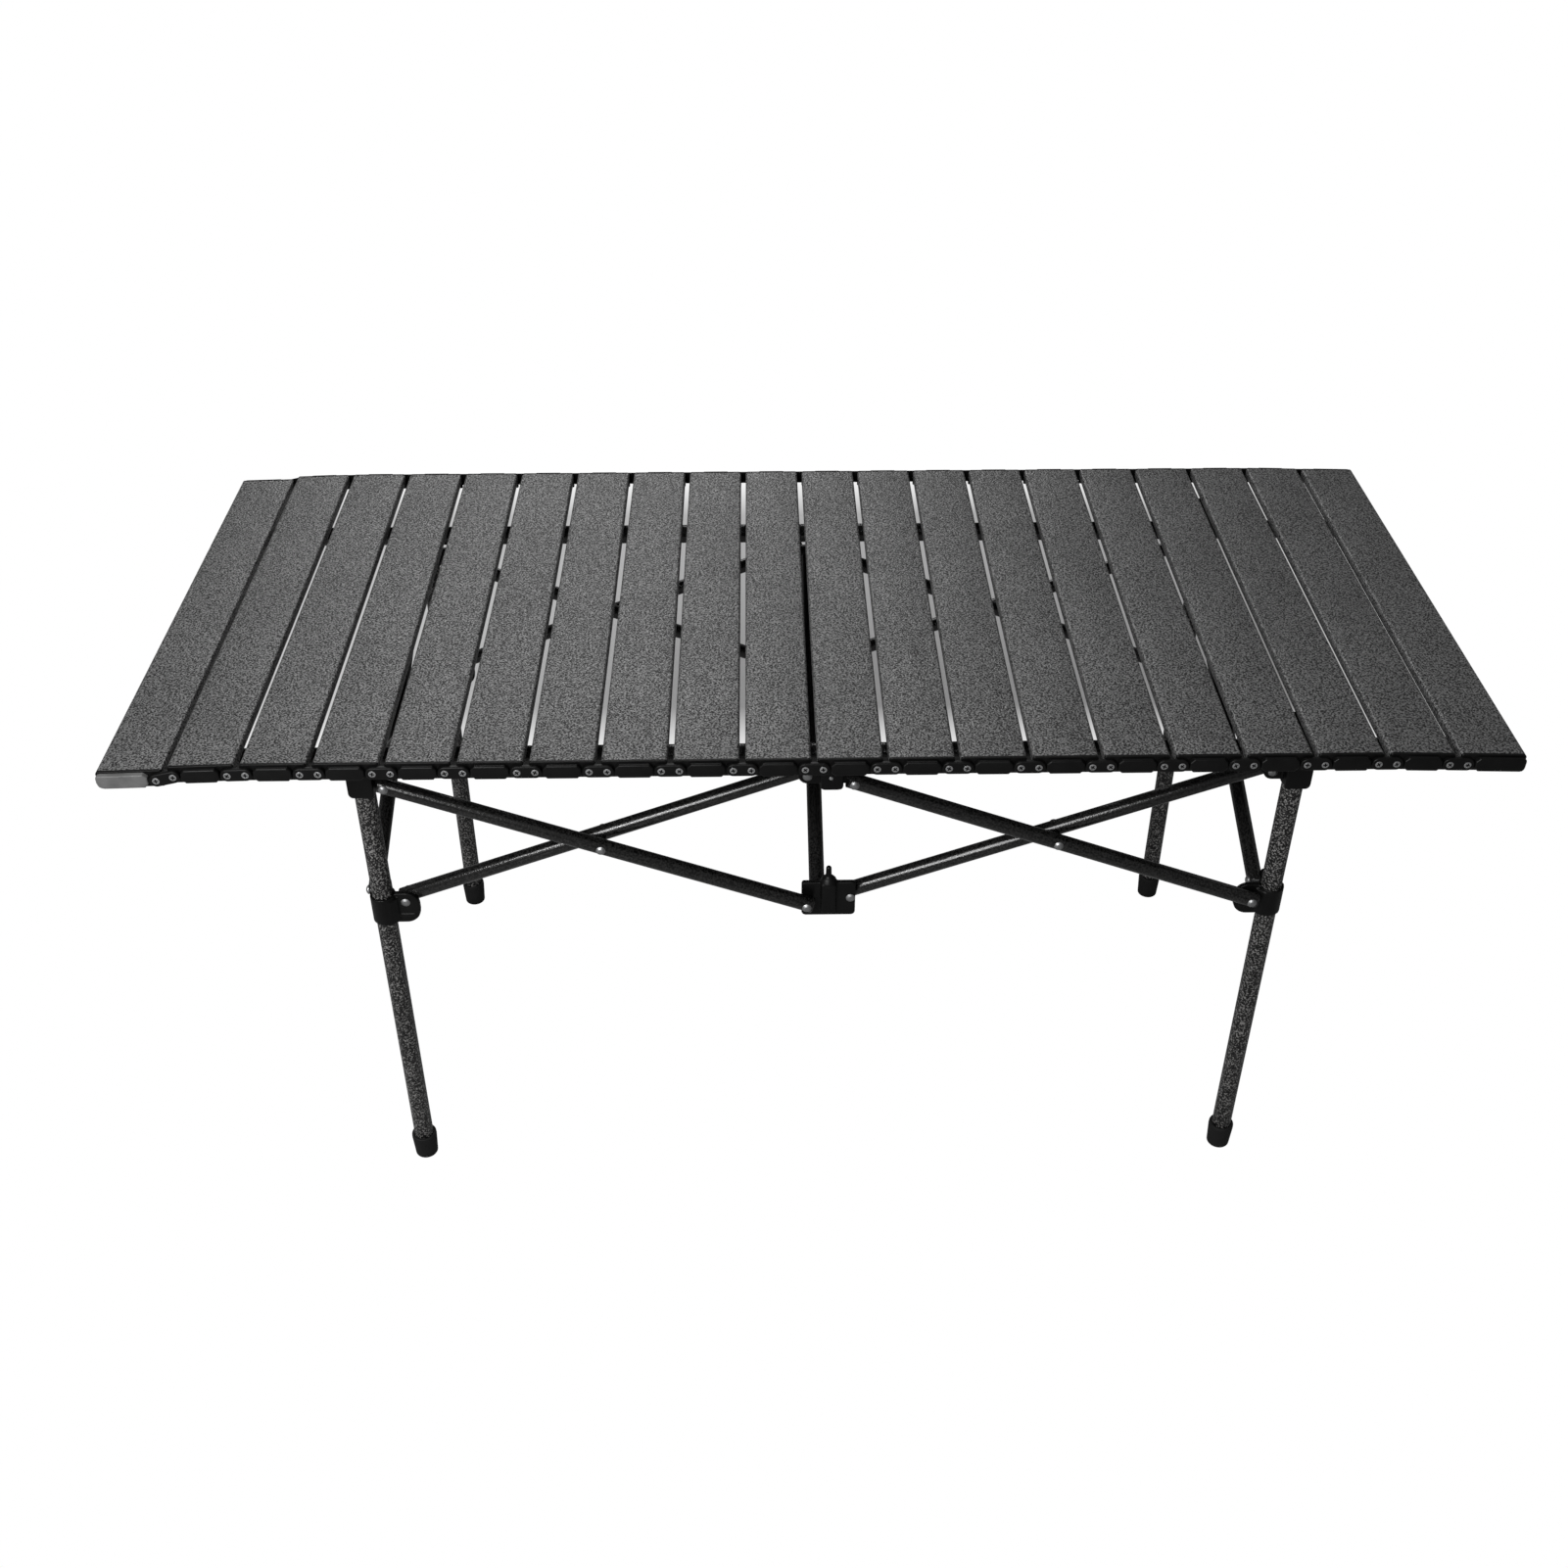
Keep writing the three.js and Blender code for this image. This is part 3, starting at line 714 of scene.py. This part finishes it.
def block(axis, corners, low, high):
    """A solid for moulding(): an outline pushed along an axis."""
    return lambda bm: prism(bm, axis, corners, low, high)


def rod(axis, radius, low, high, at=(0, 0)):
    """A round solid for moulding(); at gives its axis's two other coordinates in order."""
    angle, about = {"x": (math.pi / 2, "Y"), "y": (-math.pi / 2, "X"), "z": (0, "X")}[axis]
    place = Matrix.Translation(AXES[axis](*at, 0)) @ Matrix.Rotation(angle, 4, about)
    return lambda bm: revolve(bm, [(0, low), (radius, low), (radius, high), (0, high)], place)


def turned(shape, angle):
    """The same solid turned about +Z by an angle in degrees."""

    def make(bm):
        shape(bm)
        bmesh.ops.rotate(bm, verts=bm.verts, matrix=Matrix.Rotation(math.radians(angle), 3, "Z"))

    return make


def top_ear(out, angle):
    """Round-ended ear of a bracket, its pivot out from the leg's axis."""
    low, high = PIVOT_TOP - EAR_RADIUS, PIVOT_TOP + EAR_RADIUS
    tip = EAR_RADIUS - 0.01
    corners = rectangle(6, out + EAR_RADIUS, low, high, [0, tip, tip, 0])
    return turned(block("y", corners, -EAR_HALF, EAR_HALF), angle)


def low_ear(out, angle):
    """Deeper ear of a slider, its lower corner more round."""
    root, past_pivot, below, above = 10.8, 12.5, 24, 10
    corners = rectangle(root, out + past_pivot, PIVOT_LOW - below, PIVOT_LOW + above, [0, 14, 12, 0])
    return turned(block("y", corners, -EAR_HALF, EAR_HALF), angle)


def saddle(x0, x1):
    """Block and cuts of the open-topped trough that holds a rail."""
    wall = BORE + SADDLE_WALL
    add = [block("z", rectangle(x0, x1, -wall, wall, 3), SADDLE_FOOT, SADDLE_TOP)]
    start, end = x0 - TROUGH_PAST, x1 + TROUGH_PAST
    cut = [
        rod("x", BORE, start, end, (0, RAIL_Z)),
        block("x", rectangle(-BORE, BORE, RAIL_Z, SADDLE_TOP + TROUGH_ABOVE, 0), start, end),
    ]
    return add, cut


def corner_bracket(node, place):
    """Socket on a leg's top, with a saddle above and an ear towards each neighbour."""
    low = PIVOT_TOP - 11.5
    saddle_add, saddle_cut = saddle(-CORNER_OUTER, CORNER_INNER)
    outline = rectangle(-CORNER_OUTER, CORNER_INNER, low, BRACKET_TOP, [5, 3, 0, 0])
    add = [
        block("y", outline, -CORNER_FRONT, 0),
        rod("z", BORE + BRACKET_WALL, low, BRACKET_TOP),
        *saddle_add,
        top_ear(PIVOT_OUT_X, 0),
        top_ear(PIVOT_OUT_Y, 90),
    ]
    cut = [*saddle_cut, rod("z", BORE, low - CUT_PAST, LEG_TOP)]
    dress(moulding(f"{node}_shell", add, cut, place), node, [NYLON], sharp=60)


def center_bracket(node, place):
    """Saddle in the middle of a long side, with three ears and a pin in its face."""
    saddle_add, saddle_cut = saddle(-CENTER_INNER, CENTER_INNER)
    outline = rectangle(-9, CENTER_INNER, PIVOT_TOP - 9, BRACKET_TOP, [3, 4, 0, 0])
    pin_z = PIVOT_TOP + 3
    add = [
        block("y", outline, -11, 8),
        *saddle_add,
        top_ear(PIVOT_OUT_X, 0),
        top_ear(PIVOT_OUT_X, 180),
        top_ear(PIVOT_OUT_Y, 90),
    ]
    cut = [*saddle_cut, rod("y", PIN_RADIUS + PIN_FIT, -14, -7, (0, pin_z))]
    dress(moulding(f"{node}_shell", add, cut, place), node, [NYLON], sharp=60)
    bm = bmesh.new()
    pin = rounded([(0, 0, 0), (PIN_RADIUS, 0, 0), (PIN_RADIUS, 3.4, 0.5), (0, 3.6, 0)], steps=4)
    seat = Matrix.Translation((0, -7, pin_z)) @ Matrix.Rotation(math.pi / 2, 4, "X")
    revolve(bm, pin, seat, 24)
    dress(to_object(f"{node}_pin", bm, place), node, [ZINC], stands_for=False)


def slider(node, place):
    """Collar that runs on a leg, with two deep ears, webs in their outer corners and low ribs."""
    ear_side, web_root, web_out, web_thick = EAR_HALF, COLLAR_RADIUS, 15, 10.2
    web_x = [(0, -web_root, 0), (8, -web_thick, 3), (web_out, -ear_side, 1), (0, -ear_side, 0)]
    web_y = [(-web_root, 0, 0), (-ear_side, 0, 0), (-ear_side, web_out, 1), (-web_thick, 8, 3)]
    add = [
        rod("z", COLLAR_RADIUS, COLLAR_LOW, COLLAR_HIGH),
        low_ear(PIVOT_OUT_X, 0),
        low_ear(PIVOT_OUT_Y, 90),
        block("z", web_x, COLLAR_LOW - 1, PIVOT_LOW + 6),
        block("z", web_y, COLLAR_LOW - 1, PIVOT_LOW + 6),
    ]
    for angle, reach in ((0, 28), (90, 24)):
        rib = rectangle(13, reach, PIVOT_LOW - 15.5, PIVOT_LOW - 13.7, 0.8)
        add.append(turned(block("y", rib, -3.5, 3.5), angle))
    cut = [rod("z", BORE, COLLAR_LOW - CUT_PAST, COLLAR_HIGH + CUT_PAST)]
    dress(moulding(f"{node}_collar", add, cut, place), node, [NYLON], sharp=60)


def center_hub(node, place):
    """Plate between the crossed bars, with an ear across it and a stud on its top."""
    stud = rounded([
        (0, HUB_HIGH - 2, 0),
        (STUD_RADIUS, HUB_HIGH - 2, 0),
        (STUD_RADIUS, HUB_HIGH + 1, 1),
        (5.8, HUB_HIGH + 4.4, 2),
        (2.8, HUB_HIGH + 7, 1.5),
        (2.6, HUB_HIGH + 17.6, 2.2),
        (0, HUB_HIGH + 18, 0),
    ], steps=4)
    plate = rectangle(-HUB_HALF, HUB_HALF, HUB_LOW, HUB_HIGH, [4, 4, 3, 3])
    across = rectangle(0, PIVOT_OUT_Y + EAR_RADIUS, HUB_LOW, PIVOT_LOW + 9, [0, 4, 8, 0])
    add = [
        block("y", plate, -EAR_HALF, EAR_HALF),
        block("z", rectangle(-7, 7, -7, 8, [2, 2, 0, 0]), HUB_LOW + 6, HUB_HIGH),
        block("x", across, -EAR_HALF, EAR_HALF),
        lambda bm: revolve(bm, stud, sides=32),
    ]
    dress(moulding(f"{node}_body", add, [], place), node, [NYLON], sharp=60)


# --------------------------------------------------------------- legs and rails


def leg(node, place):
    bm = bmesh.new()
    tube(bm, TUBE_RADIUS, TUBE_WALL, SOLE + FIT, LEG_TOP - FIT)
    dress(to_object(f"{node}_tube", bm, place), node, [LEG_PAINT])


def foot(node, place):
    """Rubber ferrule, a little wider towards its rolled mouth."""
    bore = TUBE_RADIUS + 0.1
    outline = [
        (0, 0, 0),
        (11.2, 0, 1.6),
        (12.5, FOOT_HEIGHT - 4, 3),
        (12.3, FOOT_HEIGHT, 1.2),
        (bore, FOOT_HEIGHT, 0.6),
        (bore, SOLE, 0.5),
        (0, SOLE, 0),
    ]
    bm = bmesh.new()
    revolve(bm, rounded(outline, steps=5))
    dress(to_object(f"{node}_ferrule", bm, place), node, [RUBBER])


def rail(node, side, place):
    """Half a rail; the left half carries the spigot that joins the two."""
    bore = TUBE_RADIUS - TUBE_WALL
    joint = FIT / 2
    skin = [(0, -RAIL_HALF, 0), (TUBE_RADIUS, -RAIL_HALF, 0.8), (TUBE_RADIUS, -joint, 0.3)]
    plug = [(bore, RAIL_PLUG - RAIL_HALF, 0), (0, RAIL_PLUG - RAIL_HALF, 0)]
    spigot = [(bore, -joint, 0)]
    if side < 0:
        outside = bore - FIT
        inside = outside - TUBE_WALL
        spigot = [
            (outside, -joint, 0),
            (outside, SPIGOT, 0.5),
            (inside, SPIGOT, 0.5),
            (inside, -SPIGOT, 0),
            (bore, -SPIGOT, 0),
        ]
    lengthwise = Matrix.Rotation(math.radians(-90 * side), 4, "Y")
    bm = bmesh.new()
    revolve(bm, rounded(skin + spigot + plug, steps=4), lengthwise)
    dress(to_object(f"{node}_tube", bm, place), node, [BAR_PAINT])


# ----------------------------------------------------------------------- frame

# The frame is the same after half a turn. One half holds a long side, the
# braces at one end and one of the two braces in the middle.


def half_frame(turned_round):
    near = "back" if turned_round else "front"
    left, right = ("right", "left") if turned_round else ("left", "right")
    about = Matrix.Rotation(math.pi if turned_round else 0, 4, "Z")
    half = Matrix.Translation((FRAME_X, 0, 0)) @ about

    def spot(x, y):
        return half @ Matrix.Translation((x, y, 0))

    def placed_bar(node, start, end, axis, ear_side, past, crossing):
        start, end = half @ Vector(start), half @ Vector(end)
        bar(node, start, end, half.to_3x3() @ Vector(axis), ear_side, past, crossing)

    for side, label in ((-1, left), (1, right)):
        corner = f"{near}_{label}"
        place = spot(side * BAY_X, -HALF_Y)
        inboard = place @ Matrix.Diagonal((-side, 1, 1, 1))
        leg(f"leg_{corner}", place)
        foot(f"foot_{corner}", place)
        corner_bracket(f"corner_bracket_{corner}", inboard)
        slider(f"slider_{corner}", inboard)
        x0, x1 = sorted((side * PIVOT_OUT_X, side * (BAY_X - PIVOT_OUT_X)))
        bars = [
            ("outer", -HALF_Y - LAYER, PIVOT_TOP, PIVOT_LOW, 1, True),
            ("inner", -HALF_Y + LAYER, PIVOT_LOW, PIVOT_TOP, -1, False),
        ]
        for layer, y, left_z, right_z, ear_side, crossing in bars:
            node = f"bar_{corner}_{layer}"
            start, end = (x0, y, left_z), (x1, y, right_z)
            placed_bar(node, start, end, (0, 1, 0), ear_side, BAR_END_X, crossing)
    center_bracket(f"center_bracket_{near}", spot(0, -HALF_Y))
    center_hub(f"center_hub_{near}", spot(0, -HALF_Y))
    reach = HALF_Y - PIVOT_OUT_Y
    braces = [
        (f"brace_{left}_down", -BAY_X, 1, PIVOT_TOP, PIVOT_LOW, True),
        (f"brace_{left}_up", -BAY_X, -1, PIVOT_LOW, PIVOT_TOP, False),
        (f"brace_center_{near}", 0, 1, PIVOT_TOP, PIVOT_LOW, not turned_round),
    ]
    for node, x, layer, front_z, back_z, crossing in braces:
        x += layer * LAYER
        start, end = (x, -reach, front_z), (x, reach, back_z)
        placed_bar(node, start, end, (-1, 0, 0), layer, BAR_END_Y, crossing)
    lying = Matrix.Translation((0, HALF_Y if turned_round else -HALF_Y, RAIL_Z))
    for label, side in (("left", -1), ("right", 1)):
        rail(f"rail_{near}_{label}", side, lying)


half_frame(False)
half_frame(True)

# ------------------------------------------------------- stage, light and camera


# Metres from the origin over which the floor's shadow strip runs into plain
# white: towards the back, towards the front and to both sides.
WHITE_BEHIND = (1.2, 1.34)
WHITE_BEFORE = (0.62, 0.49)
WHITE_BESIDE = (0.75, 0.92)
SEEN_PAPER = 0.62  # the strip's grey to the eye
LIGHTING_PAPER = 0.3  # and to what it lights
AMBIENT = 0.2  # the white surround's strength as a light


def studio_floor():
    """A floor that takes the top's soft shadow in a strip behind the table.

    The rest of it is plain white.
    """
    bm = bmesh.new()
    bmesh.ops.create_grid(bm, x_segments=1, y_segments=1, size=FLOOR_HALF)
    floor = to_object("studio_floor", bm)
    n = Nodes("studio_floor")
    seen = n.add("ShaderNodeLightPath").outputs["Is Camera Ray"]
    paper = n.add("ShaderNodeBsdfDiffuse")
    n.link(n.mix(seen, grey(LIGHTING_PAPER), grey(SEEN_PAPER)), paper.inputs["Color"])
    glow = n.add("ShaderNodeEmission")
    split = n.add("ShaderNodeSeparateXYZ")
    n.link(n.place(), split.inputs[0])
    behind = n.range(split.outputs["Y"], *WHITE_BEHIND)
    before = n.range(split.outputs["Y"], *WHITE_BEFORE)
    width = n.add("ShaderNodeMath", operation="ABSOLUTE")
    n.link(split.outputs["X"], width.inputs[0])
    beside = n.range(width.outputs[0], *WHITE_BESIDE)
    away = n.math("MAXIMUM", n.math("MAXIMUM", behind, before), beside)
    blend = n.add("ShaderNodeMixShader")
    n.link(n.math("MULTIPLY", away, seen), blend.inputs[0])
    n.link(paper.outputs[0], blend.inputs[1])
    n.link(glow.outputs[0], blend.inputs[2])
    n.link(blend.outputs[0], n.tree.nodes["Material Output"].inputs["Surface"])
    floor.data.materials.append(n.material)


def surround():
    """White to the eye, dim to everything it lights."""
    world = bpy.data.worlds.new("studio")
    world.use_nodes = True
    tree = world.node_tree
    seen = tree.nodes.new("ShaderNodeLightPath").outputs["Is Camera Ray"]
    strength = tree.nodes.new("ShaderNodeMapRange")
    strength.inputs["To Min"].default_value = AMBIENT
    tree.links.new(seen, strength.inputs["Value"])
    tree.links.new(strength.outputs["Result"], tree.nodes["Background"].inputs["Strength"])
    tree.nodes["Background"].inputs["Color"].default_value = (1, 1, 1, 1)
    bpy.context.scene.world = world


def softbox(name, place, target, width, height, power):
    """A rectangular light at a place, turned towards a target; metres and watts."""
    data = bpy.data.lights.new(name, "AREA")
    data.shape = "RECTANGLE"
    data.size = width
    data.size_y = height
    data.energy = power
    light = bpy.data.objects.new(name, data)
    light.location = place
    light.rotation_euler = (Vector(target) - Vector(place)).to_track_quat("-Z", "Y").to_euler()
    bpy.context.scene.collection.objects.link(light)


def studio():
    """Floor, surround and three softboxes, in metres."""
    bpy.context.scene.view_settings.view_transform = "Standard"
    studio_floor()
    surround()
    softbox("softbox_front", (-1.1, -2.5, 2.4), (-0.1, 0.7, 0), 1.3, 2.0, 108)
    softbox("softbox_back", (-0.45, 2.6, 2.15), (0, 0, 0.5), 1.7, 1.1, 24)
    softbox("softbox_left", (-1.5, -1.6, 1.75), (-0.1, -0.2, 0.4), 1.0, 0.35, 26)


def camera():
    data = bpy.data.cameras.new("camera")
    data.sensor_width = 36
    data.lens = CAMERA_LENS
    made = bpy.data.objects.new("camera", data)
    made.location = CAMERA_PLACE
    made.rotation_euler = [math.radians(angle) for angle in CAMERA_TILT]
    bpy.context.scene.collection.objects.link(made)
    bpy.context.scene.camera = made


studio()
camera()
